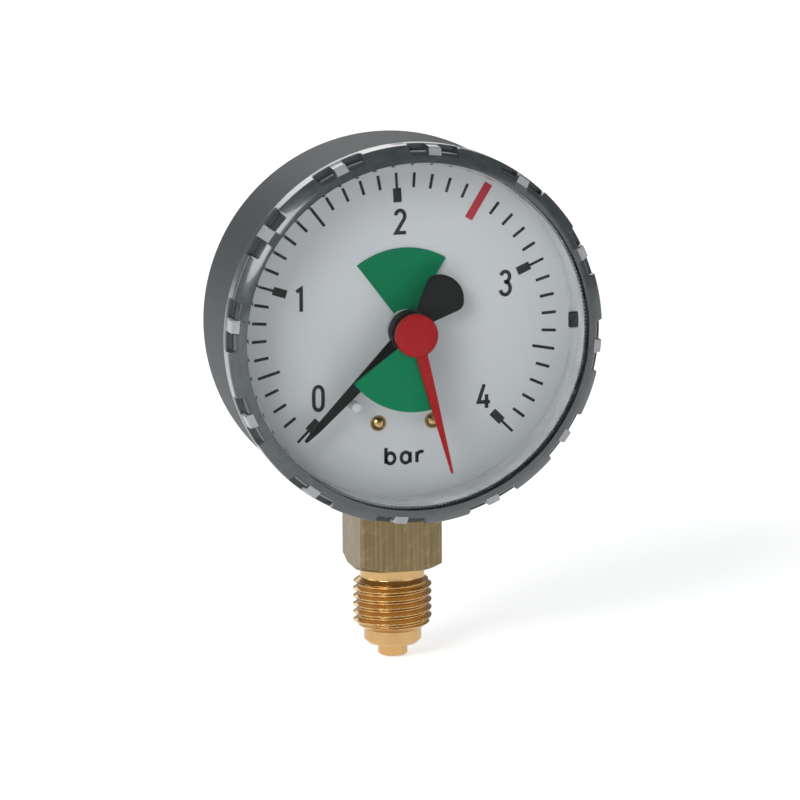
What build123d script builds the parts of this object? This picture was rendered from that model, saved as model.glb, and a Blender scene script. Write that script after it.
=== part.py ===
from build123d import *
import math
import os

# Bourdon tube pressure gauge, nominal size 63, bottom connection G 1/4 B, range 0 to 4 bar.
# Millimetres. +Z runs up the stem, the dial faces -Y, X is to the right. The origin is the tip of the spigot.
# Angles on the dial are clock angles: 0 at the top, growing clockwise as seen from the front.

# ---- driving dimensions -------------------------------------------------------------------------
CENTRE_Z = 57.0  # dial centre above the spigot tip

# stem
SQUARE = 14.0
SQUARE_EDGE = 0.9  # rounding of the four upright edges
SHANK_LENGTH = 15.4  # spigot tip to the underside of the square
SPIGOT_R, SPIGOT_LENGTH = 2.5, 2.0
END_R, END_TOP = 4.85, 4.5  # plain end below the thread
NECK_R, NECK_BOTTOM = 5.4, 13.6  # undercut above the thread
THREAD_R, THREAD_DEPTH, PITCH = 6.5785, 0.856, 1.337  # G 1/4, 19 threads per inch
BORE_R = 1.5
TONGUE_FACE_Y = -2.4  # face that carries the movement
TONGUE_TOP = 41.0

# case
CASE_R, CASE_BACK_R, CASE_WALL_R = 31.0, 30.7, 29.1
CASE_BACK_Y, BACK_WALL = 9.0, 2.0
NECK_OUT_R = 29.9  # turned-down rim that the window grips
CASE_STEP_Y, CASE_RIM_Y = -14.1, -17.4

# window cap
FIT = 0.05
FRONT_Y, GLASS = -19.6, 1.2  # front face and its thickness
FACE_R, EDGE_R, EDGE_Y = 28.6, 30.0, -18.75
FLANGE_R, FLANGE_FRONT_Y = 31.35, -16.0
BODY_R = 30.55
LUGS, LUG_R, LUG_FRONT_Y, LUG_ANGLE, LUG_CENTRE = 12, 31.4, -17.75, 14.5, 20.6
TONGUE_ANGLE, TONGUE_R = 4.2, 31.15
INNER_SKIRT_R, INNER_SKIRT_END_Y = 28.15, -10.75

# dial
DIAL_Y, DIAL_THICK, DIAL_R = -10.0, 0.8, 28.85
DIAL_SCREW_X, DIAL_SCREW_DROP = 4.6, 15.7
STOP_PIN_AT, STOP_PIN_R = (-9.1, -12.2), 0.8
BOSS_R = 2.2

# hands and range plates
POINTER_Y, POINTER_THICK = -13.4, 0.5
POINTER_REACH, TAIL_REACH, HUB_R = 24.9, 11.2, 3.55
ZERO_CLOCK, SPAN = 225.0, 270.0
MARK_CLOCK, MARK_REACH, MARK_THICK = 165.0, 24.3, 0.4
FAN_ANGLE, REAR_FAN_R, FRONT_FAN_R = 68.0, 13.35, 12.8
REAR_FAN_CLOCK, FRONT_FAN_CLOCK = -3.0, 199.5

# movement
FRONT_PLATE_Y, BACK_PLATE_Y, PLATE = -8.4, -3.4, 1.0
MODULE, PINION_TEETH, WHEEL_TEETH = 0.2, 10, 120
PINION_R = MODULE * PINION_TEETH / 2
WHEEL_R = MODULE * WHEEL_TEETH / 2
SECTOR_Z = CENTRE_Z - PINION_R - WHEEL_R
SECTOR_Y, SECTOR_THICK = -6.9, 0.8
SECTOR_SWING = SPAN * PINION_TEETH / WHEEL_TEETH
TAIL_LENGTH, TAIL_MID_CLOCK = 7.5, 137.5
LINK_LENGTH, LINK_CLOCK = 12.0, 47.5
LINK_Y, LINK_THICK = -5.9, 0.5
MOVEMENT_SCREW_X, MOVEMENT_SCREW_Z, MOVEMENT_SCREW_R = 4.6, 38.0, 0.8
PILLARS = [(-5.4, 62.0), (5.4, 62.0), (-6.1, 46.5)]

# Bourdon tube: a flattened tube bent round the dial axis
TUBE_R, TUBE_ACROSS, TUBE_WIDE, TUBE_WALL = 23.0, 2.4, 7.0, 0.4
TUBE_Y = 1.9
TUBE_FROM, TUBE_SWEEP = 194.5, 285.5


def clock(radius, angle, centre_z=CENTRE_Z):
    """Point (x, z) at a clock angle and a distance from a centre on the case's middle line."""
    a = math.radians(angle)
    return (radius * math.sin(a), centre_z + radius * math.cos(a))


def facing(y, centre_z=CENTRE_Z, turn=0.0):
    """Plane at depth y seen from the front: its x is right, its y is up, its normal points at the viewer.

    turn spins it clockwise, so that a shape drawn upright lands at that clock angle.
    """
    t = math.radians(turn)
    return Plane(origin=(0, y, centre_z), x_dir=(math.cos(t), 0, -math.sin(t)), z_dir=(0, -1, 0))


def radial(angle):
    """Plane through the dial axis at a clock angle: its x is the distance from the axis, its y is depth."""
    a = math.radians(angle)
    return Plane(
        origin=(0, 0, CENTRE_Z),
        x_dir=(math.sin(a), 0, math.cos(a)),
        z_dir=(-math.cos(a), 0, math.sin(a)),
    )


def bar(start, end, half):
    """Flat bar with round ends between two points of the sketch."""
    along = Vector(*end) - Vector(*start)
    middle = (Vector(*end) + Vector(*start)) * 0.5
    tilt = math.degrees(math.atan2(along.Y, along.X))
    with Locations((middle.X, middle.Y)):
        SlotCenterToCenter(along.length, 2 * half, rotation=tilt)


AXIS = Axis((0, 0, CENTRE_Z), (0, 1, 0))  # dial axis; turning about it is clockwise from the front

os.makedirs("parts", exist_ok=True)

# ---- case: a moulded cup with a stepped rim ------------------------------------------------------
RIB_IN_R, RIB_DEPTH = 28.0, 7.0
CORNER_CUT, BACK_ROUND = 2.8, 5.0
STEM_SLOT = SQUARE + 0.4
PLUG_R, PLUG_Z = 4.0, CENTRE_Z + 17.0
CASE_SCREW_X, CASE_SCREW_Z, CASE_SCREW_R = 3.8, 33.2, 1.5
with BuildPart() as case:
    with BuildSketch(radial(90)):
        with BuildLine():
            Polyline(
                (0, CASE_BACK_Y),
                (CASE_BACK_R, CASE_BACK_Y),
                (CASE_R, CASE_STEP_Y),
                (NECK_OUT_R, CASE_STEP_Y),
                (NECK_OUT_R, CASE_RIM_Y),
                (CASE_WALL_R, CASE_RIM_Y),
                (CASE_WALL_R, CASE_BACK_Y - BACK_WALL - CORNER_CUT),
                (CASE_WALL_R - CORNER_CUT, CASE_BACK_Y - BACK_WALL),
                (0, CASE_BACK_Y - BACK_WALL),
                close=True,
            )
        make_face()
    revolve(axis=AXIS)
    fillet(case.edges().filter_by(GeomType.CIRCLE).group_by(Axis.Y)[-1], BACK_ROUND)
    # opening for the square stem
    with BuildSketch(Plane.XY.offset(CENTRE_Z - CASE_R - 1)):
        Rectangle(STEM_SLOT, STEM_SLOT)
    extrude(amount=8, mode=Mode.SUBTRACT)
    # ribs at 3 and 9 o'clock that key the dial
    for side in (90, 270):
        with BuildSketch(facing(DIAL_Y - 0.5, turn=side)):
            with BuildLine():
                Polyline(
                    (-1.7, CASE_WALL_R + 0.4),
                    (1.7, CASE_WALL_R + 0.4),
                    (1.0, RIB_IN_R),
                    (-1.0, RIB_IN_R),
                    close=True,
                )
            make_face()
        extrude(amount=-RIB_DEPTH)
    # relief opening and screw holes in the back wall
    with Locations(facing(CASE_BACK_Y, PLUG_Z)):
        Hole(PLUG_R + 0.05)
    with Locations(facing(CASE_BACK_Y, CASE_SCREW_Z)):
        with Locations((-CASE_SCREW_X, 0), (CASE_SCREW_X, 0)):
            Hole(CASE_SCREW_R + 0.15)
case.part.label = "case"
export_step(case.part, "parts/case.step")

# ---- relief plug: blows out backwards if the tube bursts ------------------------------------------
with BuildPart() as relief_plug:
    with BuildSketch(facing(CASE_BACK_Y - BACK_WALL, PLUG_Z)):
        Circle(PLUG_R)
    extrude(amount=-BACK_WALL)
    with BuildSketch(facing(CASE_BACK_Y, PLUG_Z)):
        Circle(PLUG_R + 1.0)
    extrude(amount=-0.8)
    fillet(relief_plug.edges().group_by(Axis.Y)[-1], 0.4)
    with BuildSketch(facing(CASE_BACK_Y - BACK_WALL, PLUG_Z)):
        Circle(PLUG_R - 1.0)
    extrude(amount=-1.2, mode=Mode.SUBTRACT)
relief_plug.part.label = "relief_plug"
export_step(relief_plug.part, "parts/relief_plug.step")

# ---- case screws ---------------------------------------------------------------------------------
HEAD_R, HEAD_HIGH = 2.8, 1.7
with BuildPart() as case_screws:
    with BuildSketch(facing(CASE_BACK_Y, CASE_SCREW_Z)):
        with Locations((-CASE_SCREW_X, 0), (CASE_SCREW_X, 0)):
            Circle(HEAD_R)
    extrude(amount=-HEAD_HIGH)
    fillet(case_screws.edges().group_by(Axis.Y)[-1], 0.8)
    with BuildSketch(facing(CASE_BACK_Y, CASE_SCREW_Z)):
        with Locations((-CASE_SCREW_X, 0), (CASE_SCREW_X, 0)):
            Circle(CASE_SCREW_R)
    extrude(amount=6.8)
    with BuildSketch(facing(CASE_BACK_Y + HEAD_HIGH, CASE_SCREW_Z)):
        with Locations((-CASE_SCREW_X, 0), (CASE_SCREW_X, 0)):
            Rectangle(3.2, 0.6)
            Rectangle(0.6, 3.2)
    extrude(amount=0.9, mode=Mode.SUBTRACT)
case_screws.part.label = "case_screws"
export_step(case_screws.part, "parts/case_screws.step")

# ---- stem: square bar, turned shank, and the tongue inside the case -------------------------------
with BuildPart() as socket:
    with BuildSketch(Plane.XY.offset(SHANK_LENGTH)):
        RectangleRounded(SQUARE, SQUARE, SQUARE_EDGE)
    extrude(amount=TONGUE_TOP - SHANK_LENGTH)
    # turned chamfer under the square: keep what lies inside a flaring cone
    with BuildSketch(Plane.XZ):
        with BuildLine():
            Polyline(
                (0, SHANK_LENGTH - 1),
                (SQUARE / 2 + 0.7, SHANK_LENGTH - 1),
                (SQUARE / 2 + 0.7, SHANK_LENGTH),
                (SQUARE, SHANK_LENGTH + 3.6),
                (SQUARE, TONGUE_TOP + 1),
                (0, TONGUE_TOP + 1),
                close=True,
            )
        make_face()
    revolve(axis=Axis.Z, mode=Mode.INTERSECT)
    # shank with parallel thread grooves
    with BuildSketch(Plane.XZ):
        with BuildLine():
            Polyline(
                (0, 0),
                (SPIGOT_R - 0.3, 0),
                (SPIGOT_R, 0.3),
                (SPIGOT_R, SPIGOT_LENGTH),
                (END_R - 0.8, SPIGOT_LENGTH),
                (END_R, SPIGOT_LENGTH + 0.8),
                (END_R, END_TOP),
                (THREAD_R, END_TOP + 1.1),
                (THREAD_R, NECK_BOTTOM - 0.7),
                (NECK_R, NECK_BOTTOM),
                (NECK_R, SHANK_LENGTH),
                (0, SHANK_LENGTH),
                close=True,
            )
        make_face()
    revolve(axis=Axis.Z)
    for turn in range(6):
        z = END_TOP + 1.45 + turn * PITCH
        with BuildSketch(Plane.XZ):
            with BuildLine():
                Polyline(
                    (THREAD_R + 0.3, z - 0.55),
                    (THREAD_R - THREAD_DEPTH, z - 0.08),
                    (THREAD_R - THREAD_DEPTH, z + 0.08),
                    (THREAD_R + 0.3, z + 0.55),
                    close=True,
                )
            make_face()
        revolve(axis=Axis.Z, mode=Mode.SUBTRACT)
    # step that makes the tongue, and room beside it for the tube's first turn
    with BuildSketch(Plane.XY.offset(TONGUE_TOP + 1)):
        with Locations((0, TONGUE_FACE_Y - 6)):
            Rectangle(SQUARE + 2, 12)
    extrude(amount=-(TONGUE_TOP + 1 - 33.0), mode=Mode.SUBTRACT)
    # slot that takes the tube's root, and the cross drilling that feeds it
    with BuildSketch(radial(TUBE_FROM - 0.3)):
        with Locations((TUBE_R, TUBE_Y)):
            Rectangle(TUBE_ACROSS + 0.1, TUBE_WIDE + 0.1)
    revolve(axis=AXIS, revolution_arc=15, mode=Mode.SUBTRACT)
    with Locations(Plane(origin=(-SQUARE / 2, 0.6, 34.6), z_dir=(-1, 0, 0))):
        Hole(0.8, depth=SQUARE / 2)
    # pressure bore, and the tapped holes for the case and movement screws
    with Locations(Plane(origin=(0, 0, 0), z_dir=(0, 0, -1))):
        Hole(BORE_R, depth=35.4)
    with Locations(Plane(origin=(0, SQUARE / 2, CASE_SCREW_Z), x_dir=(1, 0, 0), z_dir=(0, 1, 0))):
        with Locations((-CASE_SCREW_X, 0), (CASE_SCREW_X, 0)):
            Hole(CASE_SCREW_R, depth=5.2)
    with Locations(facing(TONGUE_FACE_Y, MOVEMENT_SCREW_Z)):
        with Locations((-MOVEMENT_SCREW_X, 0), (MOVEMENT_SCREW_X, 0)):
            Hole(MOVEMENT_SCREW_R, depth=3.6)
socket.part.label = "socket"
export_step(socket.part, "parts/socket.step")

# ---- throttle screw in the spigot ----------------------------------------------------------------
with BuildPart() as throttle_screw:
    with BuildSketch(Plane.XY.offset(0.6)):
        Circle(BORE_R)
        Circle(0.35, mode=Mode.SUBTRACT)
    extrude(amount=3.0)
    with BuildSketch(Plane.XY.offset(0.6)):
        Rectangle(2 * BORE_R + 1, 0.5)
    extrude(amount=0.7, mode=Mode.SUBTRACT)
throttle_screw.part.label = "throttle_screw"
export_step(throttle_screw.part, "parts/throttle_screw.step")

# ---- Bourdon tube: flattened tube, open at the root, closed by the tip ----------------------------
with BuildPart() as bourdon_tube:
    with BuildSketch(radial(TUBE_FROM)):
        with Locations((TUBE_R, TUBE_Y)):
            RectangleRounded(TUBE_ACROSS, TUBE_WIDE, TUBE_ACROSS / 2 - 0.02)
            RectangleRounded(
                TUBE_ACROSS - 2 * TUBE_WALL,
                TUBE_WIDE - 2 * TUBE_WALL,
                TUBE_ACROSS / 2 - TUBE_WALL - 0.02,
                mode=Mode.SUBTRACT,
            )
    revolve(axis=AXIS, revolution_arc=TUBE_SWEEP)
bourdon_tube.part.label = "bourdon_tube"
export_step(bourdon_tube.part, "parts/bourdon_tube.step")

# ---- tube tip: end cap with a forward arm that meets the link -------------------------------------
TIP_CLOCK = TUBE_FROM + TUBE_SWEEP - 360
TIP_ANGLE = 5.0
EAR_Y, EAR_THICK = -5.25, 0.6
TAIL_REST_CLOCK = TAIL_MID_CLOCK + SECTOR_SWING / 2
TAIL_END = clock(TAIL_LENGTH, TAIL_REST_CLOCK, SECTOR_Z)
LINK_END = (
    TAIL_END[0] + LINK_LENGTH * math.sin(math.radians(LINK_CLOCK)),
    TAIL_END[1] + LINK_LENGTH * math.cos(math.radians(LINK_CLOCK)),
)
LINK_PIN_R, OPEN_PIVOT_PLAY = 0.4, 0.2
ARM_ROOT = clock(TUBE_R - 0.6, TIP_CLOCK + TIP_ANGLE / 2)
with BuildPart() as tube_tip:
    with BuildSketch(radial(TIP_CLOCK + 0.02)):
        with Locations((TUBE_R, TUBE_Y)):
            RectangleRounded(TUBE_ACROSS + 0.4, TUBE_WIDE + 0.4, 1.1)
    revolve(axis=AXIS, revolution_arc=TIP_ANGLE)
    with BuildSketch(radial(TIP_CLOCK + 0.6)):
        with Locations((TUBE_R - 0.5, (EAR_Y + TUBE_Y) / 2)):
            Rectangle(1.4, TUBE_Y - EAR_Y)
    revolve(axis=AXIS, revolution_arc=TIP_ANGLE - 1.2)
    with BuildSketch(Plane(origin=(0, EAR_Y, 0), x_dir=(1, 0, 0), z_dir=(0, -1, 0))):
        bar(LINK_END, ARM_ROOT, 1.1)
        with Locations(LINK_END):
            Circle(LINK_PIN_R, mode=Mode.SUBTRACT)
    extrude(amount=-EAR_THICK)
tube_tip.part.label = "tube_tip"
export_step(tube_tip.part, "parts/tube_tip.step")

# ---- link pins -----------------------------------------------------------------------------------
with BuildPart() as tip_pin:
    with BuildSketch(Plane(origin=(0, LINK_Y - 0.3, 0), x_dir=(1, 0, 0), z_dir=(0, -1, 0))):
        with Locations(LINK_END):
            Circle(LINK_PIN_R)
    extrude(amount=-(EAR_Y + EAR_THICK - LINK_Y + 0.3))
    with BuildSketch(Plane(origin=(0, LINK_Y - 0.3, 0), x_dir=(1, 0, 0), z_dir=(0, -1, 0))):
        with Locations(LINK_END):
            Circle(LINK_PIN_R + 0.5)
    extrude(amount=0.25)
tip_pin.part.label = "tip_pin"
export_step(tip_pin.part, "parts/tip_pin.step")

with BuildPart() as tail_pin:
    with BuildSketch(Plane(origin=(0, SECTOR_Y, 0), x_dir=(1, 0, 0), z_dir=(0, -1, 0))):
        with Locations(TAIL_END):
            Circle(LINK_PIN_R)
    extrude(amount=-(LINK_Y + LINK_THICK + 0.15 - SECTOR_Y))
    with BuildSketch(Plane(origin=(0, LINK_Y + LINK_THICK + 0.15, 0), x_dir=(1, 0, 0), z_dir=(0, -1, 0))):
        with Locations(TAIL_END):
            Circle(LINK_PIN_R + 0.3)
    extrude(amount=-0.25)
tail_pin.part.label = "tail_pin"
export_step(tail_pin.part, "parts/tail_pin.step")

# ---- link ----------------------------------------------------------------------------------------
with BuildPart() as link:
    with BuildSketch(Plane(origin=(0, LINK_Y, 0), x_dir=(1, 0, 0), z_dir=(0, -1, 0))):
        bar(TAIL_END, LINK_END, 1.0)
        with Locations(TAIL_END):
            Circle(LINK_PIN_R + FIT, mode=Mode.SUBTRACT)
        with Locations(LINK_END):
            Circle(LINK_PIN_R + OPEN_PIVOT_PLAY, mode=Mode.SUBTRACT)
    extrude(amount=-LINK_THICK)
link.part.label = "link"
export_step(link.part, "parts/link.step")

# ---- toothed sector with its tail ----------------------------------------------------------------
ADDENDUM, DEDENDUM = 0.85 * MODULE, 1.4 * MODULE
TOOTH_HALF = 0.62  # half tooth at the pitch line, in modules: thin enough to leave backlash
FLANK = 0.36  # how much a flank leans out per unit of height
SECTOR_FROM, SECTOR_TO = -4.5, 28.5
ARBOR_R = 0.6
SECTOR_HUB_R = 2.2


def tooth(pitch_r, outward, inward):
    """Trapezoid tooth that points along +y, its foot sunk a little into the rim."""
    top = MODULE * TOOTH_HALF - FLANK * outward
    foot = MODULE * TOOTH_HALF + FLANK * inward
    sunk = 0.1
    return [
        (-top, pitch_r + outward),
        (top, pitch_r + outward),
        (foot, pitch_r - inward - sunk),
        (-foot, pitch_r - inward - sunk),
    ]


with BuildPart() as sector_gear:
    sector_face = facing(SECTOR_Y, SECTOR_Z)
    with BuildSketch(sector_face):
        rim_in, rim_out = WHEEL_R - DEDENDUM - 1.2, WHEEL_R - DEDENDUM
        with BuildLine():
            edge_from, edge_to = 90 - SECTOR_FROM + 1.5, 90 - SECTOR_TO - 1.5
            outer = CenterArc((0, 0), rim_out, edge_to, edge_from - edge_to)
            Line(outer @ 0, (0, 0))
            Line((0, 0), outer @ 1)
        make_face()
        with BuildLine():
            window_from, window_to = edge_from - 6, edge_to + 6
            far = CenterArc((0, 0), rim_in, window_to, window_from - window_to)
            near = CenterArc((0, 0), 4.0, window_to, window_from - window_to)
            Line(far @ 0, near @ 0)
            Line(far @ 1, near @ 1)
        make_face(mode=Mode.SUBTRACT)
        Circle(SECTOR_HUB_R)
    extrude(amount=-SECTOR_THICK)
    tail_plane = facing(SECTOR_Y, SECTOR_Z, TAIL_REST_CLOCK)
    with BuildSketch(tail_plane):
        bar((0, 0), (0, TAIL_LENGTH), 1.1)
    extrude(amount=-SECTOR_THICK)
    for index in range(12):
        with BuildSketch(facing(SECTOR_Y, SECTOR_Z, SECTOR_FROM + 3.0 * index)):
            with BuildLine():
                Polyline(*tooth(WHEEL_R, ADDENDUM, DEDENDUM), close=True)
            make_face()
        extrude(amount=-SECTOR_THICK)
    with BuildSketch(sector_face):
        Circle(ARBOR_R)
    extrude(amount=-SECTOR_THICK, mode=Mode.SUBTRACT)
    with BuildSketch(tail_plane):
        with Locations((0, TAIL_LENGTH)):
            Circle(LINK_PIN_R)
    extrude(amount=-SECTOR_THICK, mode=Mode.SUBTRACT)
sector_gear.part.label = "sector_gear"
export_step(sector_gear.part, "parts/sector_gear.step")

PIVOT_R = 0.45
with BuildPart() as sector_arbor:
    with BuildSketch(facing(FRONT_PLATE_Y + PLATE + 0.1, SECTOR_Z)):
        Circle(ARBOR_R)
    extrude(amount=-(BACK_PLATE_Y - FRONT_PLATE_Y - PLATE - 0.2))
    with BuildSketch(facing(FRONT_PLATE_Y, SECTOR_Z)):
        Circle(PIVOT_R)
    extrude(amount=-(BACK_PLATE_Y + PLATE - FRONT_PLATE_Y))
    with BuildSketch(facing(SECTOR_Y + SECTOR_THICK, SECTOR_Z)):
        Circle(ARBOR_R + 0.7)
    extrude(amount=-0.8)
sector_arbor.part.label = "sector_arbor"
export_step(sector_arbor.part, "parts/sector_arbor.step")

# ---- pinion arbor: carries the pointer, the collet and the pinion ---------------------------------
ARBOR_TIP_Y, ARBOR_REAR_Y = -15.2, BACK_PLATE_Y + PLATE + 0.2
with BuildPart() as pinion_arbor:
    with BuildSketch(facing(ARBOR_TIP_Y)):
        Circle(ARBOR_R)
    extrude(amount=-(ARBOR_REAR_Y - ARBOR_TIP_Y))
    pinion_y, pinion_long = SECTOR_Y - 0.2, SECTOR_THICK + 0.4
    with BuildSketch(facing(pinion_y)):
        Circle(PINION_R - DEDENDUM)
    extrude(amount=-pinion_long)
    for index in range(PINION_TEETH):
        with BuildSketch(facing(pinion_y, turn=180 + 36 * index)):
            with BuildLine():
                Polyline(*tooth(PINION_R, ADDENDUM, DEDENDUM), close=True)
            make_face()
        extrude(amount=-pinion_long)
pinion_arbor.part.label = "pinion_arbor"
export_step(pinion_arbor.part, "parts/pinion_arbor.step")

# ---- hairspring, its collet and its stud ----------------------------------------------------------
COLLET_R, SPRING_Y, SPRING_WIDE, STRIP = 1.45, -5.1, 0.5, 0.14
SPRING_STEP, HALF_TURNS = 0.4, 9
with BuildPart() as hairspring_collet:
    with BuildSketch(facing(-5.5)):
        Circle(COLLET_R)
        Circle(ARBOR_R, mode=Mode.SUBTRACT)
    extrude(amount=-1.2)
hairspring_collet.part.label = "hairspring_collet"
export_step(hairspring_collet.part, "parts/hairspring_collet.step")

# half circles about two centres, each one step larger than the last
with BuildPart() as hairspring:
    for index in range(HALF_TURNS):
        across = COLLET_R + 0.15 + SPRING_STEP * index
        shift = SPRING_STEP * (index % 2)
        with BuildSketch(facing(SPRING_Y)):
            with Locations((shift, 0)):
                Circle(across + STRIP / 2)
                Circle(across - STRIP / 2, mode=Mode.SUBTRACT)
            with Locations((shift, 10 if index % 2 == 0 else -10)):
                Rectangle(20, 20, mode=Mode.INTERSECT)
        extrude(amount=-SPRING_WIDE)
hairspring.part.label = "hairspring"
export_step(hairspring.part, "parts/hairspring.step")

SPRING_END = COLLET_R + 0.15 + SPRING_STEP * (HALF_TURNS - 1)
with BuildPart() as hairspring_stud:
    with BuildSketch(facing(SPRING_Y - 0.2)):
        with Locations((-SPRING_END, -0.45)):
            Rectangle(0.9, 0.9)
    extrude(amount=-(BACK_PLATE_Y - SPRING_Y + 0.2))
hairspring_stud.part.label = "hairspring_stud"
export_step(hairspring_stud.part, "parts/hairspring_stud.step")

# ---- movement plates, pillars and screws ----------------------------------------------------------
PLATE_HALF, FRONT_BOTTOM, BACK_BOTTOM, PLATE_TOP = 7.6, 39.4, 35.6, 65.0
PILLAR_R, TENON_R, PLATE_SCREW_R = 1.1, 0.7, 0.5


def plate_outline(bottom):
    """Upright plate between a bottom edge and the common top edge, drawn about the dial centre."""
    with Locations((0, (bottom + PLATE_TOP) / 2 - CENTRE_Z)):
        RectangleRounded(2 * PLATE_HALF, PLATE_TOP - bottom, 2.0)


PILLAR_PLACES = [(x, z - CENTRE_Z) for x, z in PILLARS]
with BuildPart() as front_plate:
    with BuildSketch(facing(FRONT_PLATE_Y)):
        plate_outline(FRONT_BOTTOM)
        Circle(ARBOR_R + FIT, mode=Mode.SUBTRACT)
        with Locations((0, SECTOR_Z - CENTRE_Z)):
            Circle(PIVOT_R + FIT, mode=Mode.SUBTRACT)
        with Locations(PILLAR_PLACES):
            Circle(PLATE_SCREW_R + 0.1, mode=Mode.SUBTRACT)
        with Locations((-DIAL_SCREW_X, -DIAL_SCREW_DROP), (DIAL_SCREW_X, -DIAL_SCREW_DROP)):
            Circle(0.7, mode=Mode.SUBTRACT)
        with Locations((0, 4.4)):
            SlotOverall(7.0, 2.4, mode=Mode.SUBTRACT)
    extrude(amount=-PLATE)
front_plate.part.label = "front_plate"
export_step(front_plate.part, "parts/front_plate.step")

with BuildPart() as back_plate:
    with BuildSketch(facing(BACK_PLATE_Y)):
        plate_outline(BACK_BOTTOM)
        Circle(ARBOR_R + FIT, mode=Mode.SUBTRACT)
        with Locations((0, SECTOR_Z - CENTRE_Z)):
            Circle(PIVOT_R + FIT, mode=Mode.SUBTRACT)
        with Locations(PILLAR_PLACES):
            Circle(TENON_R, mode=Mode.SUBTRACT)
        movement_drop = MOVEMENT_SCREW_Z - CENTRE_Z
        with Locations((-MOVEMENT_SCREW_X, movement_drop), (MOVEMENT_SCREW_X, movement_drop)):
            Circle(MOVEMENT_SCREW_R + 0.1, mode=Mode.SUBTRACT)
    extrude(amount=-PLATE)
back_plate.part.label = "back_plate"
export_step(back_plate.part, "parts/back_plate.step")

GAP = BACK_PLATE_Y - FRONT_PLATE_Y - PLATE
with BuildPart() as pillars:
    with BuildSketch(facing(FRONT_PLATE_Y + PLATE)):
        with Locations(PILLAR_PLACES):
            Circle(PILLAR_R)
    extrude(amount=-GAP)
    with BuildSketch(facing(BACK_PLATE_Y)):
        with Locations(PILLAR_PLACES):
            Circle(TENON_R)
    extrude(amount=-PLATE)
    with BuildSketch(facing(FRONT_PLATE_Y + PLATE)):
        with Locations(PILLAR_PLACES):
            Circle(PLATE_SCREW_R)
    extrude(amount=-2.5, mode=Mode.SUBTRACT)
pillars.part.label = "pillars"
export_step(pillars.part, "parts/pillars.step")

with BuildPart() as plate_screws:
    with BuildSketch(facing(FRONT_PLATE_Y)):
        with Locations(PILLAR_PLACES):
            Circle(1.15)
    extrude(amount=0.6)
    with BuildSketch(facing(FRONT_PLATE_Y)):
        with Locations(PILLAR_PLACES):
            Circle(PLATE_SCREW_R)
    extrude(amount=-(PLATE + 2.4))
    with BuildSketch(facing(FRONT_PLATE_Y - 0.6)):
        with Locations(PILLAR_PLACES):
            Rectangle(2.6, 0.35)
    extrude(amount=-0.3, mode=Mode.SUBTRACT)
plate_screws.part.label = "plate_screws"
export_step(plate_screws.part, "parts/plate_screws.step")

with BuildPart() as movement_screws:
    with BuildSketch(facing(BACK_PLATE_Y, MOVEMENT_SCREW_Z)):
        with Locations((-MOVEMENT_SCREW_X, 0), (MOVEMENT_SCREW_X, 0)):
            Circle(1.5)
    extrude(amount=0.9)
    with BuildSketch(facing(BACK_PLATE_Y, MOVEMENT_SCREW_Z)):
        with Locations((-MOVEMENT_SCREW_X, 0), (MOVEMENT_SCREW_X, 0)):
            Circle(MOVEMENT_SCREW_R)
    extrude(amount=-(PLATE + 3.4))
    with BuildSketch(facing(BACK_PLATE_Y - 0.9, MOVEMENT_SCREW_Z)):
        with Locations((-MOVEMENT_SCREW_X, 0), (MOVEMENT_SCREW_X, 0)):
            Rectangle(3.2, 0.4)
    extrude(amount=-0.4, mode=Mode.SUBTRACT)
movement_screws.part.label = "movement_screws"
export_step(movement_screws.part, "parts/movement_screws.step")

# ---- dial: disc with key notches, centre boss, stop pin and two bosses behind the screws ------------
DIAL_BORE_R, BOSS_HIGH = 1.4, 0.95
SCREW_PLACES = [(-DIAL_SCREW_X, -DIAL_SCREW_DROP), (DIAL_SCREW_X, -DIAL_SCREW_DROP)]
with BuildPart() as dial:
    with BuildSketch(facing(DIAL_Y)):
        Circle(DIAL_R)
    extrude(amount=-DIAL_THICK)
    with BuildSketch(facing(DIAL_Y)):
        Circle(BOSS_R)
    extrude(amount=BOSS_HIGH)
    with BuildSketch(facing(DIAL_Y)):
        with Locations(STOP_PIN_AT):
            Circle(STOP_PIN_R)
    extrude(amount=4.0)
    fillet(dial.edges().filter_by(GeomType.CIRCLE).group_by(Axis.Y)[0], 0.3)
    with BuildSketch(facing(DIAL_Y + DIAL_THICK)):
        with Locations(SCREW_PLACES):
            Circle(1.8)
    extrude(amount=-(FRONT_PLATE_Y - DIAL_Y - DIAL_THICK))
    with Locations(facing(DIAL_Y)):
        Hole(DIAL_BORE_R)
        with Locations(SCREW_PLACES):
            Hole(0.85)
    for side in (90, 270):
        with BuildSketch(facing(DIAL_Y, turn=side)):
            with BuildLine():
                Polyline(
                    (-1.9, DIAL_R + 0.5),
                    (1.9, DIAL_R + 0.5),
                    (1.2, RIB_IN_R - 0.15),
                    (-1.2, RIB_IN_R - 0.15),
                    close=True,
                )
            make_face()
        extrude(amount=-DIAL_THICK, mode=Mode.SUBTRACT)
dial.part.label = "dial"
export_step(dial.part, "parts/dial.step")

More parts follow.
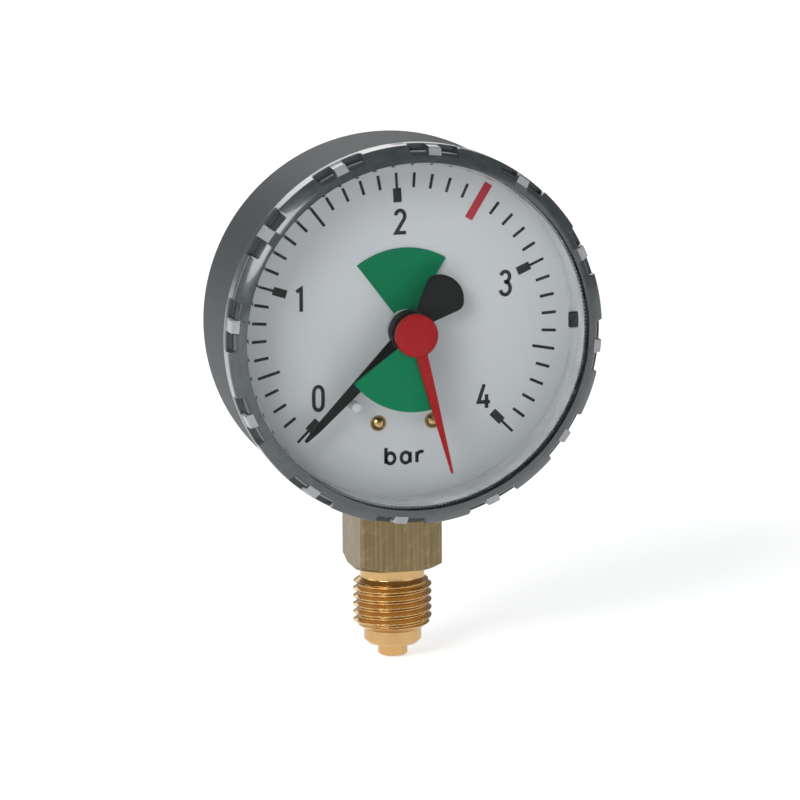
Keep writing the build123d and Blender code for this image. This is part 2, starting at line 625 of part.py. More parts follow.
DOME_R, DOME_HIGH, DIAL_SCREW_R = 1.35, 0.95, 0.7
BALL_R = (DOME_R**2 + DOME_HIGH**2) / (2 * DOME_HIGH)  # sphere the dome is cut from
HALF_WAY = (math.asin((BALL_R - DOME_HIGH) / BALL_R) + math.pi / 2) / 2
DOME_MID = (BALL_R * math.cos(HALF_WAY), DIAL_Y + BALL_R - DOME_HIGH - BALL_R * math.sin(HALF_WAY))
with BuildPart() as dial_screws:
    for x, drop in SCREW_PLACES:
        with BuildSketch(Plane(origin=(x, 0, CENTRE_Z + drop), x_dir=(1, 0, 0), z_dir=(0, 0, 1))):
            with BuildLine():
                face_line = Line((0, DIAL_Y), (DOME_R, DIAL_Y))
                ThreePointArc(face_line @ 1, DOME_MID, (0, DIAL_Y - DOME_HIGH))
                Line((0, DIAL_Y - DOME_HIGH), (0, DIAL_Y))
            make_face()
        revolve(axis=Axis((x, 0, CENTRE_Z + drop), (0, 1, 0)))
        with BuildSketch(facing(DIAL_Y)):
            with Locations((x, drop)):
                Circle(DIAL_SCREW_R)
        extrude(amount=-(FRONT_PLATE_Y + PLATE - DIAL_Y))
dial_screws.part.label = "dial_screws"
export_step(dial_screws.part, "parts/dial_screws.step")

# ---- rear range plate on the dial boss, and the ring that keeps it there ----------------------------
RING_OUT, RING_HIGH, RANGE_THICK = 3.2, 0.4, 0.3


def range_plate(bore_r, ring_r, fan_r, angle):
    """Thin ring with one fan, the fan pointing along +y."""
    across = 2 * fan_r * math.sin(math.radians(angle / 2))
    along = 2 * fan_r * math.cos(math.radians(angle / 2))
    Circle(fan_r)
    Polygon((0, 0), (across, along), (-across, along), align=None, mode=Mode.INTERSECT)
    Circle(ring_r)
    Circle(bore_r, mode=Mode.SUBTRACT)


REAR_FAN_Y = DIAL_Y - 0.1 - RANGE_THICK
with BuildPart() as range_plate_rear:
    with BuildSketch(facing(REAR_FAN_Y, turn=REAR_FAN_CLOCK)):
        range_plate(BOSS_R + FIT, RING_OUT - 0.1, REAR_FAN_R, FAN_ANGLE)
    extrude(amount=-RANGE_THICK)
range_plate_rear.part.label = "range_plate_rear"
export_step(range_plate_rear.part, "parts/range_plate_rear.step")

with BuildPart() as range_ring:
    with BuildSketch(facing(REAR_FAN_Y - 0.05 - RING_HIGH)):
        Circle(RING_OUT)
        Circle(BOSS_R, mode=Mode.SUBTRACT)
    extrude(amount=-RING_HIGH)
range_ring.part.label = "range_ring"
export_step(range_ring.part, "parts/range_ring.step")

# ---- measuring pointer ------------------------------------------------------------------------------
HUB_FRONT_Y = -15.6
with BuildPart() as pointer:
    with BuildSketch(facing(POINTER_Y, turn=ZERO_CLOCK)) as hand:
        with BuildLine():
            Polyline(
                (1.35, 2.5),
                (0.55, 22.4),
                (0.22, POINTER_REACH),
                (-0.22, POINTER_REACH),
                (-0.55, 22.4),
                (-1.35, 2.5),
                (-1.3, -2.5),
                (-3.9, -8.6),
            )
            ThreePointArc((-3.9, -8.6), (0, -TAIL_REACH), (3.9, -8.6))
            Polyline((3.9, -8.6), (1.3, -2.5), (1.35, 2.5))
        make_face()
        fillet(hand.vertices().sort_by(Axis.Y)[:2], 1.5)
        Circle(HUB_R)
    extrude(amount=-POINTER_THICK)
    with BuildSketch(facing(HUB_FRONT_Y)):
        Circle(HUB_R)
    extrude(amount=-(POINTER_Y - HUB_FRONT_Y))
    fillet(pointer.edges().group_by(Axis.Y)[0], 0.25)
    with BuildSketch(facing(POINTER_Y + POINTER_THICK)):
        Circle(ARBOR_R)
    extrude(amount=(POINTER_Y + POINTER_THICK - ARBOR_TIP_Y), mode=Mode.SUBTRACT)
pointer.part.label = "pointer"
export_step(pointer.part, "parts/pointer.step")

# ---- window cap: clear cover with skirt, flange, grip lugs, snap tongues and inner skirt --------------
GLASS_BACK_Y = FRONT_Y + GLASS
SEAT_R, SEAT_HIGH, SEAT_BORE_R, SEAT_DEPTH = 2.4, 0.4, 1.3, 1.0
with BuildPart() as window:
    with BuildSketch(radial(90)):
        with BuildLine():
            Polyline(
                (0, FRONT_Y),
                (FACE_R, FRONT_Y),
                (EDGE_R, EDGE_Y),
                (BODY_R, FLANGE_FRONT_Y),
                (FLANGE_R, FLANGE_FRONT_Y),
                (FLANGE_R, CASE_STEP_Y - 0.05),
                (NECK_OUT_R + FIT, CASE_STEP_Y - 0.05),
                (NECK_OUT_R + FIT, CASE_RIM_Y - 0.1),
                (CASE_WALL_R - 0.1, CASE_RIM_Y - 0.1),
                (CASE_WALL_R - 0.1, INNER_SKIRT_END_Y),
                (INNER_SKIRT_R, INNER_SKIRT_END_Y),
                (INNER_SKIRT_R, GLASS_BACK_Y),
                (SEAT_R, GLASS_BACK_Y),
                (SEAT_R, GLASS_BACK_Y + SEAT_HIGH),
                (SEAT_BORE_R, GLASS_BACK_Y + SEAT_HIGH),
                (SEAT_BORE_R, GLASS_BACK_Y + SEAT_HIGH - SEAT_DEPTH),
                (0, GLASS_BACK_Y + SEAT_HIGH - SEAT_DEPTH),
                close=True,
            )
        make_face()
    revolve(axis=AXIS)
    for index in range(LUGS):
        centre = LUG_CENTRE + 360 / LUGS * index
        with BuildSketch(radial(centre - LUG_ANGLE / 2)):
            with BuildLine():
                Polyline(
                    (BODY_R - 0.3, FLANGE_FRONT_Y + 0.2),
                    (LUG_R, FLANGE_FRONT_Y + 0.2),
                    (LUG_R, LUG_FRONT_Y),
                    (EDGE_R + 0.2, EDGE_Y + 0.3),
                    (EDGE_R - 0.2, EDGE_Y + 0.4),
                    close=True,
                )
            make_face()
        revolve(axis=AXIS, revolution_arc=LUG_ANGLE)
        with BuildSketch(radial(centre + 180 / LUGS - TONGUE_ANGLE / 2)):
            with BuildLine():
                Polyline(
                    (BODY_R - 0.3, FLANGE_FRONT_Y + 0.2),
                    (TONGUE_R, FLANGE_FRONT_Y + 0.2),
                    (TONGUE_R - 0.3, EDGE_Y + 0.9),
                    (EDGE_R + 0.1, EDGE_Y + 0.2),
                    (EDGE_R - 0.2, EDGE_Y + 0.4),
                    close=True,
                )
            make_face()
        revolve(axis=AXIS, revolution_arc=TONGUE_ANGLE)
window.part.label = "window"
export_step(window.part, "parts/window.step")

# ---- red mark pointer: spigot in the window seat, disc, needle, neck and lip for the front plate ------
DISC_FRONT_Y, DISC_THICK = GLASS_BACK_Y + SEAT_HIGH + 0.05, 0.85
NECK_MARK_R, LIP_R = 1.8, 2.15
FRONT_FAN_Y = DISC_FRONT_Y + DISC_THICK + 0.05
with BuildPart() as mark_pointer:
    with BuildSketch(facing(DISC_FRONT_Y)):
        Circle(HUB_R)
    extrude(amount=-DISC_THICK)
    with BuildSketch(facing(DISC_FRONT_Y)):
        Circle(SEAT_BORE_R - FIT)
    extrude(amount=SEAT_DEPTH - 0.1)
    with BuildSketch(facing(DISC_FRONT_Y + 0.1, turn=MARK_CLOCK)):
        with BuildLine():
            Polyline((1.05, 2.5), (0.22, MARK_REACH), (-0.22, MARK_REACH), (-1.05, 2.5), close=True)
        make_face()
    extrude(amount=-MARK_THICK)
    with BuildSketch(facing(DISC_FRONT_Y + DISC_THICK)):
        Circle(NECK_MARK_R)
    extrude(amount=-(RANGE_THICK + 0.1))
    with BuildSketch(facing(FRONT_FAN_Y + RANGE_THICK + 0.05)):
        Circle(LIP_R)
    extrude(amount=-0.3)
mark_pointer.part.label = "mark_pointer"
export_step(mark_pointer.part, "parts/mark_pointer.step")

with BuildPart() as range_plate_front:
    with BuildSketch(facing(FRONT_FAN_Y, turn=FRONT_FAN_CLOCK)):
        range_plate(NECK_MARK_R + FIT, NECK_MARK_R + 1.2, FRONT_FAN_R, FAN_ANGLE)
    extrude(amount=-RANGE_THICK)
range_plate_front.part.label = "range_plate_front"
export_step(range_plate_front.part, "parts/range_plate_front.step")
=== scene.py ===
import math

import bmesh
import bpy
import numpy as np
from mathutils import Matrix, Vector


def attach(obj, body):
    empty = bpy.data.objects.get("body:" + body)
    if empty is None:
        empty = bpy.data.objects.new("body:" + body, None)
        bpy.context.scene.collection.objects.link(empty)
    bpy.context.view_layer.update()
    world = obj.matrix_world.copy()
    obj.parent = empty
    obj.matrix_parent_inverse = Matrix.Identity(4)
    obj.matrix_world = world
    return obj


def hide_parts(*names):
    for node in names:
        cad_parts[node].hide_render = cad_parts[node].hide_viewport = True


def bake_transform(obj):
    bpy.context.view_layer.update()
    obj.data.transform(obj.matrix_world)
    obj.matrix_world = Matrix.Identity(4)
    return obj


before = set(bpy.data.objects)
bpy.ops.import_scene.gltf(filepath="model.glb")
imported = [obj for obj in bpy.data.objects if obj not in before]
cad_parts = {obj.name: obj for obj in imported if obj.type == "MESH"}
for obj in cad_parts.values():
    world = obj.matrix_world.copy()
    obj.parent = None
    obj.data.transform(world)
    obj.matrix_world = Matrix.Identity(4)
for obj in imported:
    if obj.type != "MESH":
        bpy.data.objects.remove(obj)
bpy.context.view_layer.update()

# Viewing angle: 14 degrees to the left of the dial's axis and 11 degrees above it, from 0.9 m away.
# The camera sits a little off the line to the middle of the gauge, so no lens shift is needed.
CAMERA_TURN = math.radians(13.95)
CAMERA_RISE = math.radians(10.75)
CAMERA_ROLL = math.radians(-0.35)
CAMERA_AWAY = 0.9
CAMERA_RIGHT, CAMERA_DOWN = 0.0015, 0.00182
MID_HEIGHT = 0.045
level = Vector((math.cos(CAMERA_TURN), -math.sin(CAMERA_TURN), 0.0))
look = Vector(
    (
        math.sin(CAMERA_TURN) * math.cos(CAMERA_RISE),
        math.cos(CAMERA_TURN) * math.cos(CAMERA_RISE),
        -math.sin(CAMERA_RISE),
    )
)
rise = level.cross(look)
right = level * math.cos(CAMERA_ROLL) + rise * math.sin(CAMERA_ROLL)
upright = rise * math.cos(CAMERA_ROLL) - level * math.sin(CAMERA_ROLL)
eye = Vector((0.0, 0.0, MID_HEIGHT)) - look * CAMERA_AWAY + right * CAMERA_RIGHT - upright * CAMERA_DOWN
camera_data = bpy.data.cameras.new("camera")
camera_data.lens = 243.7
camera_data.sensor_width = 36.0
camera_data.clip_start = 0.05
camera_data.clip_end = 20.0
camera = bpy.data.objects.new("camera", camera_data)
camera.matrix_world = Matrix(
    (
        (right.x, upright.x, -look.x, eye.x),
        (right.y, upright.y, -look.y, eye.y),
        (right.z, upright.z, -look.z, eye.z),
        (0.0, 0.0, 0.0, 1.0),
    )
)
bpy.context.collection.objects.link(camera)
bpy.context.scene.camera = camera
bpy.context.scene.view_settings.view_transform = "Standard"


# Floor: a flat sheet of pale paper under the stem, far larger than the gauge.
# It is lit from below as well, as a light table is, so that it stays white under soft lamps.
def plain_finish(name, colour, roughness):
    """A material of one colour and one roughness, both set on the shader's own sockets."""
    material = bpy.data.materials.new(name)
    material.use_nodes = True
    shader = material.node_tree.nodes["Principled BSDF"]
    shader.inputs["Base Color"].default_value = (*colour, 1.0)
    shader.inputs["Roughness"].default_value = roughness
    return material


floor_mesh = bpy.data.meshes.new("floor")
FLOOR_HALF, FLOOR_Z = 20, -0.0003
floor_corners = [(x * FLOOR_HALF, y * FLOOR_HALF, FLOOR_Z) for x, y in ((-1, -1), (1, -1), (1, 1), (-1, 1))]
floor_mesh.from_pydata(floor_corners, [], [(0, 1, 2, 3)])
floor = bpy.data.objects.new("floor", floor_mesh)
paper = plain_finish("studio_paper", (0.93, 0.93, 0.93), 0.9)
paper.node_tree.nodes["Principled BSDF"].inputs["Emission Color"].default_value = (1.0, 1.0, 1.0, 1.0)
paper.node_tree.nodes["Principled BSDF"].inputs["Emission Strength"].default_value = 0.5
floor_mesh.materials.append(paper)
bpy.context.collection.objects.link(floor)

# Studio light: a dim even room that looks white to the camera, one large soft box high on the left and a wide
# weak one on the right. Two weak panels light the left side of the case and its back.
room = bpy.data.worlds.new("studio")
room.use_nodes = True
room.node_tree.nodes["Background"].inputs["Color"].default_value = (0.94, 0.97, 1.0, 1.0)
room.node_tree.nodes["Background"].inputs["Strength"].default_value = 0.27
backdrop = room.node_tree.nodes.new("ShaderNodeBackground")
backdrop.inputs["Color"].default_value = (0.98, 0.98, 0.98, 1.0)
seen_or_lit = room.node_tree.nodes.new("ShaderNodeMixShader")
ray = room.node_tree.nodes.new("ShaderNodeLightPath")
room.node_tree.links.new(ray.outputs["Is Camera Ray"], seen_or_lit.inputs[0])
room.node_tree.links.new(room.node_tree.nodes["Background"].outputs[0], seen_or_lit.inputs[1])
room.node_tree.links.new(backdrop.outputs[0], seen_or_lit.inputs[2])
room.node_tree.links.new(seen_or_lit.outputs[0], room.node_tree.nodes["World Output"].inputs["Surface"])
bpy.context.scene.world = room
for lamp_name, place, aim, width, height, power in (
    ("key_panel", (-0.95, -0.9, 0.7), (0.0, 0.0, 0.05), 0.7, 0.7, 14.0),
    ("side_panel", (-1.2, 0.1, 0.4), (0.0, 0.0, 0.05), 0.7, 0.6, 4.0),
    ("fill_panel", (0.9, -0.9, 0.35), (0.0, 0.0, 0.05), 0.8, 0.8, 2.0),
    ("rear_panel", (0.1, 1.1, 0.6), (0.0, 0.0, 0.05), 0.8, 0.6, 3.0),
):
    lamp_data = bpy.data.lights.new(lamp_name, "AREA")
    lamp_data.shape = "RECTANGLE"
    lamp_data.size = width
    lamp_data.size_y = height
    lamp_data.energy = power
    lamp = bpy.data.objects.new(lamp_name, lamp_data)
    lamp.location = place
    lamp.rotation_euler = (Vector(aim) - Vector(place)).to_track_quat("-Z", "Y").to_euler()
    bpy.context.collection.objects.link(lamp)


# Stem: drawn brass bar, turned below the square. It is screwed into the plant and carries the whole gauge.
# The thread is G 1/4, cut as a right-hand helix; the square keeps the long grain of the drawn bar.
class Wire:
    """A shader socket that takes part in arithmetic, and makes the nodes that it feeds."""

    def __init__(self, tree, socket=None):
        self.tree = tree
        self.socket = socket

    def node(self, kind, inputs, output=0, **settings):
        """A new node of that kind; inputs maps a socket's name or number to a Wire or a constant."""
        made = self.tree.nodes.new(kind)
        for key, value in settings.items():
            setattr(made, key, value)
        for key, value in inputs.items():
            if isinstance(value, Wire):
                self.tree.links.new(value.socket, made.inputs[key])
            else:
                made.inputs[key].default_value = value
        return Wire(self.tree, made.outputs[output])

    def maths(self, operation, first, second=0.0):
        return self.node("ShaderNodeMath", {0: first, 1: second}, operation=operation)

    def __add__(self, other):
        return self.maths("ADD", self, other)

    def __sub__(self, other):
        return self.maths("SUBTRACT", self, other)

    def __mul__(self, other):
        return self.maths("MULTIPLY", self, other)

    def __truediv__(self, other):
        return self.maths("DIVIDE", self, other)

    def __radd__(self, other):
        return self.maths("ADD", other, self)

    def __rsub__(self, other):
        return self.maths("SUBTRACT", other, self)

    def __rmul__(self, other):
        return self.maths("MULTIPLY", other, self)

    def __rtruediv__(self, other):
        return self.maths("DIVIDE", other, self)

    def __pow__(self, other):
        return self.maths("POWER", self, other)

    def between(self, low, high):
        """0 below low, 1 above high, and a smooth step from one to the other."""
        return self.node("ShaderNodeMapRange", {0: self, 1: low, 2: high}, interpolation_type="SMOOTHSTEP")

    def stretched(self, x, y, z):
        """The position wire, scaled along each axis."""
        return self.node("ShaderNodeVectorMath", {0: self, 1: (x, y, z)}, operation="MULTIPLY")

    def noise(self, scale, detail=3.0, roughness=0.5):
        """Fractal noise at this position, from 0 to 1."""
        settings = {"Vector": self, "Scale": scale, "Detail": detail, "Roughness": roughness}
        return self.node("ShaderNodeTexNoise", settings)

    def tint(self, first, second):
        """A colour that goes from first to second as this wire goes from 0 to 1."""
        return self.node("ShaderNodeMix", {0: self, 6: (*first, 1.0), 7: (*second, 1.0)}, 2, data_type="RGBA")


def finish_of(name, build, **constants):
    """A material; build gets the position as a Wire and returns the inputs that vary over the surface."""
    material = bpy.data.materials.new(name)
    material.use_nodes = True
    tree = material.node_tree
    shader = tree.nodes["Principled BSDF"]
    for key, value in constants.items():
        shader.inputs[key.replace("_", " ")].default_value = value
    at = Wire(tree).node("ShaderNodeTexCoord", {}, "Object")
    for key, value in build(at).items():
        if key == "Bump":
            height, strength, distance = value
            value = at.node("ShaderNodeBump", {"Height": height, "Strength": strength, "Distance": distance})
            key = "Normal"
        tree.links.new(value.socket, shader.inputs[key])
    return material


def turned_brass(at):
    rings = at.stretched(60.0, 60.0, 5200.0).noise(1.0, 2.0, 0.6)
    cloud = at.noise(260.0, 4.0, 0.6)
    return {
        "Base Color": (cloud * 0.7 + rings * 0.3).tint((0.45, 0.275, 0.11), (0.66, 0.44, 0.20)),
        "Roughness": 0.13 + 0.16 * cloud + 0.05 * rings,
        "Bump": (rings, 0.5, 0.00002),
    }


def drawn_brass(at):
    grain = at.stretched(2600.0, 2600.0, 45.0).noise(1.0, 4.0, 0.65)
    cloud = at.noise(120.0, 4.0, 0.6)
    stain = at.noise(420.0, 5.0, 0.7).between(0.5, 0.72)
    return {
        "Base Color": (0.35 * stain + 1.5 * grain - 0.45).tint((0.15, 0.112, 0.055), (0.36, 0.275, 0.145)),
        "Roughness": 0.24 + 0.2 * grain + 0.1 * cloud,
        "Bump": (grain, 0.6, 0.00003),
    }


turned_brass_finish = finish_of("turned_brass", turned_brass, Metallic=1.0)
drawn_brass_finish = finish_of("drawn_brass", drawn_brass, Metallic=1.0)


def ring_skin(name, rings, material, caps=(True, True)):
    """A closed skin over rings of points: each ring joined to the next by four-sided faces, the ends flat."""
    rings = np.asarray(rings, dtype=float)
    rows, columns = rings.shape[:2]
    index = np.arange(rows * columns).reshape(rows, columns)
    after = np.roll(index, -1, axis=1)
    quads = np.stack([index[:-1], index[1:], after[1:], after[:-1]], axis=-1).reshape(-1, 4)
    faces = quads.tolist()
    if caps[0]:
        faces.append(index[0].tolist())
    if caps[1]:
        faces.append(index[-1][::-1].tolist())
    mesh = bpy.data.meshes.new(name)
    mesh.from_pydata(rings.reshape(-1, 3).tolist(), [], faces)
    mesh.materials.append(material)
    mesh.polygons.foreach_set("use_smooth", np.ones(len(faces), dtype=bool))
    mesh.update()
    made = bpy.data.objects.new(name, mesh)
    bpy.context.collection.objects.link(made)
    return made


def crease(obj, degrees):
    """Edges sharper than this angle are shaded as edges."""
    obj.data.set_sharp_from_angle(angle=math.radians(degrees))


MM = 0.001
THREAD_R, THREAD_DEPTH, PITCH = 6.5785, 0.856, 1.337


def turned_rings(columns=144):
    """Radius by height down the shank. In the threaded length the radius is the outline or the helix, whichever
    is less: the helix rises one pitch per turn, and across a pitch it swings from root to crest, both rounded."""
    lower = [(1.5, 3.8), (1.5, 0.15), (1.62, 0.0), (2.25, 0.0), (2.5, 0.25), (2.5, 1.85), (2.55, 1.97)]
    lower += [(2.65, 2.0)]
    lower += [(4.05, 2.0), (4.2, 2.05), (4.82, 2.72), (4.85, 2.82), (4.85, 4.45)]
    heights = np.linspace(4.5, 13.35, 237)
    outline = np.interp(heights, [4.5, 4.6, 5.85, 12.5, 13.35], [4.85, 5.05, THREAD_R, THREAD_R, 5.45])
    upper = [(5.42, 13.42), (5.4, 13.5), (5.4, 15.0), (5.5, 15.3), (5.75, 15.45), (5.75, 16.2)]
    angle = np.linspace(0.0, 2.0 * np.pi, columns, endpoint=False)
    phase = heights[:, None] / PITCH - angle[None, :] / (2.0 * np.pi)
    saw = np.abs((phase % 1.0) * 2.0 - 1.0)
    wave = np.clip(saw * 1.3 - 0.15, 0.0, 1.0)
    wave = wave + 0.06 * np.sin(2.0 * np.pi * wave)
    helix = THREAD_R - THREAD_DEPTH + THREAD_DEPTH * wave
    middle = np.minimum(outline[:, None], np.maximum(helix, np.minimum(5.4, outline)[:, None]))
    below = np.repeat([[r] for r, z in lower], columns, 1)
    above = np.repeat([[r] for r, z in upper], columns, 1)
    radius = np.concatenate([below, middle, above])
    height = np.concatenate([[z for r, z in lower], heights, [z for r, z in upper]])
    x = radius * np.cos(angle)
    y = radius * np.sin(angle)
    z = np.broadcast_to(height[:, None], radius.shape)
    return np.stack([x, y, z], axis=-1) * MM


shank = ring_skin("stem_shank", turned_rings(), turned_brass_finish)
crease(shank, 50)

SQUARE_HALF, SQUARE_EDGE = 7.0, 0.75


def square_rings():
    """The bar's section is a square with rounded edges, read off as radius by angle. At each height the radius is
    also held under the cone that is turned on the square's foot, and above the case's floor the front is milled
    back to a tongue."""
    flat = np.linspace(-0.93, 0.93, 15) * (SQUARE_HALF - SQUARE_EDGE)
    bend = np.linspace(0.0, np.pi / 2.0, 9)
    side = np.stack([np.full_like(flat, SQUARE_HALF), flat], axis=-1)
    corner = np.stack([np.cos(bend), np.sin(bend)], axis=-1) * SQUARE_EDGE + SQUARE_HALF - SQUARE_EDGE
    quarter = np.concatenate([side, corner])
    corners = np.arange(4) * math.pi / 2.0
    turns = [np.array([[math.cos(t), -math.sin(t)], [math.sin(t), math.cos(t)]]) for t in corners]
    section = np.concatenate([quarter @ turn.T for turn in turns])
    reach = np.linalg.norm(section, axis=1)
    heading = section / reach[:, None]
    foot = np.concatenate([np.linspace(15.4, 16.8, 15), [20.0, 26.0, 32.6, 33.0]])
    limit = 7.75 + (foot - 15.4) * 1.75
    radius = np.minimum(reach[None, :], limit[:, None])
    tongue = np.where(heading[:, 1] < 0.0, 2.4 / np.maximum(-heading[:, 1], 1e-6), 99.0)
    top = np.minimum(reach, tongue)
    radius = np.concatenate([radius, top[None, :], top[None, :]])
    height = np.concatenate([foot, [33.02, 41.0]])
    points = radius[..., None] * heading[None, :, :]
    return np.concatenate([points, np.broadcast_to(height[:, None, None], (*radius.shape, 1))], axis=-1) * MM


square = ring_skin("stem_square", square_rings(), drawn_brass_finish)
crease(square, 28)
for piece in (shank, square):
    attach(piece, "housing")
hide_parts("socket")


# Case: one moulding in black plastic, cup shaped, with a fine spark-eroded grain on the outside.
# The stepped front rim takes the window cap; two ribs key the dial.
def moulded_black(at):
    grain = at.noise(3200.0, 2.0, 0.6)
    cloud = at.noise(45.0, 3.0, 0.5)
    return {
        "Base Color": cloud.tint((0.036, 0.042, 0.044), (0.046, 0.054, 0.057)),
        "Roughness": 0.46 + 0.1 * grain + 0.06 * cloud,
        "Bump": (grain, 0.55, 0.00005),
    }


moulded_black_finish = finish_of("moulded_black", moulded_black, Specular_IOR_Level=0.18)


def dress(node, material, bevel=0.0, segments=2):
    """Gives a CAD piece its finish, and breaks its sharp edges if bevel is set."""
    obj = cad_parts[node]
    obj.data.materials.clear()
    obj.data.materials.append(material)
    if bevel:
        edge = obj.modifiers.new("edge_break", "BEVEL")
        edge.width = bevel
        edge.segments = segments
        edge.limit_method = "ANGLE"
        edge.angle_limit = math.radians(35)
    return obj


dress("case", moulded_black_finish, 0.00015)


# Relief plug: a rubber disc that blows out of the back if the tube bursts.
def rubber(at):
    bloom = at.noise(350.0, 4.0, 0.6)
    return {
        "Base Color": bloom.tint((0.018, 0.018, 0.019), (0.050, 0.050, 0.052)),
        "Roughness": 0.62 + 0.2 * bloom,
        "Bump": (bloom, 0.3, 0.00004),
    }


dress("relief_plug", finish_of("rubber", rubber))


# Case screws: zinc plated pan heads that hold the case to the stem from behind.
def zinc(at):
    frost = at.noise(2400.0, 3.0, 0.6)
    cloud = at.noise(300.0, 3.0, 0.5)
    return {
        "Base Color": cloud.tint((0.60, 0.61, 0.60), (0.72, 0.72, 0.70)),
        "Roughness": 0.25 + 0.15 * cloud + 0.08 * frost,
        "Bump": (frost, 0.2, 0.00001),
    }


zinc_finish = finish_of("zinc_plate", zinc, Metallic=1.0)
dress("case_screws", zinc_finish, 0.0001)
dress("throttle_screw", turned_brass_finish)

# Window cap: one plastic moulding, pushed over the case's rim. A flat pane with a bevelled rim, a flange against
# the case, twelve grip lugs with twelve narrow tongues between them, and an inner skirt with fine teeth outside.
CENTRE_Z = 57.0
LUG_COUNT, LUG_FIRST, LUG_WIDE, TONGUE_WIDE = 12, 20.6, 14.5, 4.2
TEETH = 288
PANE, LUG, TONGUE, SLOT, TOOTH = range(5)


def cap_rings(columns=1440):
    """The cap's section is a closed line from the middle of the pane, round the rim and back to the middle. Its
    rim points move with the angle between three shapes, lug, tongue and slot, and the skirt's outside follows a
    wave of fine teeth."""
    clock = np.arange(columns) * 360.0 / columns
    half_step = 180.0 / LUG_COUNT
    from_lug = np.abs((clock - LUG_FIRST + half_step) % (2.0 * half_step) - half_step)
    from_gap = half_step - from_lug
    lug = np.clip((LUG_WIDE / 2.0 - from_lug) / 0.5 + 0.5, 0.0, 1.0)
    tongue = np.clip((TONGUE_WIDE / 2.0 - from_gap) / 0.5 + 0.5, 0.0, 1.0)
    slot = 1.0 - lug - tongue
    tooth = np.abs((clock * TEETH / 360.0) % 1.0 * 2.0 - 1.0)
    steady = np.ones(columns)

    def rim(lug_at, tongue_at, slot_at):
        """One point of the section, as it stands in a lug, in a tongue and in a slot."""
        return [lug * a + tongue * b + slot * c for a, b, c in zip(lug_at, tongue_at, slot_at)]

    line = [(0.0 * steady, -19.6 * steady), (14.0 * steady, -19.6 * steady), (28.35 * steady, -19.6 * steady)]
    line += [(28.45 * steady, -19.6 * steady)]
    line += [(28.65 * steady, -19.57 * steady), (29.85 * steady, -18.88 * steady)]
    line += [rim((30.15, -18.62), (30.5, -18.72), (30.0, -18.75))]
    line += [rim((31.2, -17.95), (31.0, -18.55), (30.2, -18.4))]
    line += [rim((31.37, -17.7), (31.15, -18.3), (30.4, -17.6))]
    line += [rim((31.4, -17.4), (31.17, -17.9), (30.45, -17.0))]
    line += [rim((31.4, -16.3), (31.2, -16.3), (30.5, -16.15))]
    line += [rim((31.4, -16.0), (31.25, -16.0), (30.65, -16.0))]
    line += [rim((31.4, -15.9), (31.36, -15.9), (31.3, -15.98))]
    line += [(31.4 * steady, -15.8 * steady), (31.4 * steady, -14.3 * steady)]
    line += [(31.3 * steady, -14.16 * steady), (29.97 * steady, -14.16 * steady)]
    line += [(29.95 * steady, -14.2 * steady), (29.95 * steady, -17.5 * steady)]
    line += [(29.02 * steady, -17.5 * steady), (28.98 * steady, -17.3 * steady)]
    line += [(28.62 + 0.36 * tooth, -17.1 * steady), (28.62 + 0.36 * tooth, -11.2 * steady)]
    line += [(28.7 * steady, -10.78 * steady), (28.6 * steady, -10.75 * steady)]
    line += [(28.2 * steady, -10.75 * steady), (28.15 * steady, -10.85 * steady)]
    line += [(28.15 * steady, -18.32 * steady), (28.07 * steady, -18.4 * steady)]
    line += [(14.0 * steady, -18.4 * steady), (0.0 * steady, -18.4 * steady)]
    reach = np.array([r for r, y in line])
    depth = np.array([y for r, y in line])
    turn = np.radians(clock)
    points = np.stack([reach * np.sin(turn), depth, CENTRE_Z + reach * np.cos(turn)], axis=-1) * MM
    kinds = np.zeros((len(line) - 3, columns), dtype=np.int32)
    kinds[3] = LUG
    kinds[4:11] = np.where(lug > 0.5, LUG, np.where(tongue > 0.5, TONGUE, SLOT))
    kinds[11:15] = LUG
    kinds[20] = TOOTH
    return points, np.concatenate([kinds.ravel(), np.full(2 * columns, PANE, dtype=np.int32)])


def pole_skin(name, rings, material):
    """Like ring_skin, for a line that starts and ends on the axis: its end rings are single points."""
    rings = np.asarray(rings, dtype=float)
    rows, columns = rings.shape[0] - 2, rings.shape[1]
    index = np.arange(rows * columns).reshape(rows, columns)
    after = np.roll(index, -1, axis=1)
    quads = np.stack([index[:-1], index[1:], after[1:], after[:-1]], axis=-1).reshape(-1, 4)
    first, last = rows * columns, rows * columns + 1
    start = np.stack([np.full(columns, first), index[0], after[0]], axis=-1)
    end = np.stack([np.full(columns, last), after[-1], index[-1]], axis=-1)
    points = np.concatenate([rings[1:-1].reshape(-1, 3), rings[:1, 0], rings[-1:, 0]])
    mesh = bpy.data.meshes.new(name)
    mesh.from_pydata(points.tolist(), [], quads.tolist() + start.tolist() + end.tolist())
    mesh.materials.append(material)
    mesh.polygons.foreach_set("use_smooth", np.ones(len(mesh.polygons), dtype=bool))
    mesh.update()
    made = bpy.data.objects.new(name, mesh)
    bpy.context.collection.objects.link(made)
    return made


def clear_plastic(at):
    haze = at.noise(60.0, 3.0, 0.5)
    return {"Roughness": 0.01 + 0.03 * haze}


def painted_rim_tones(pale, dark):
    """The rim's faces, rough from the mould: an opaque mix of a pale and a dark tone, painted light and painted
    shade in place of what the clear plastic shows.
    """

    def build(at):
        flow = at.stretched(1.0, 3.0, 1.0).noise(420.0, 3.0, 0.6)
        return {
            "Base Color": flow.tint(dark, pale),
            "Roughness": 0.16 + 0.12 * flow,
            "Bump": (flow, 0.25, 0.00006),
        }

    return build


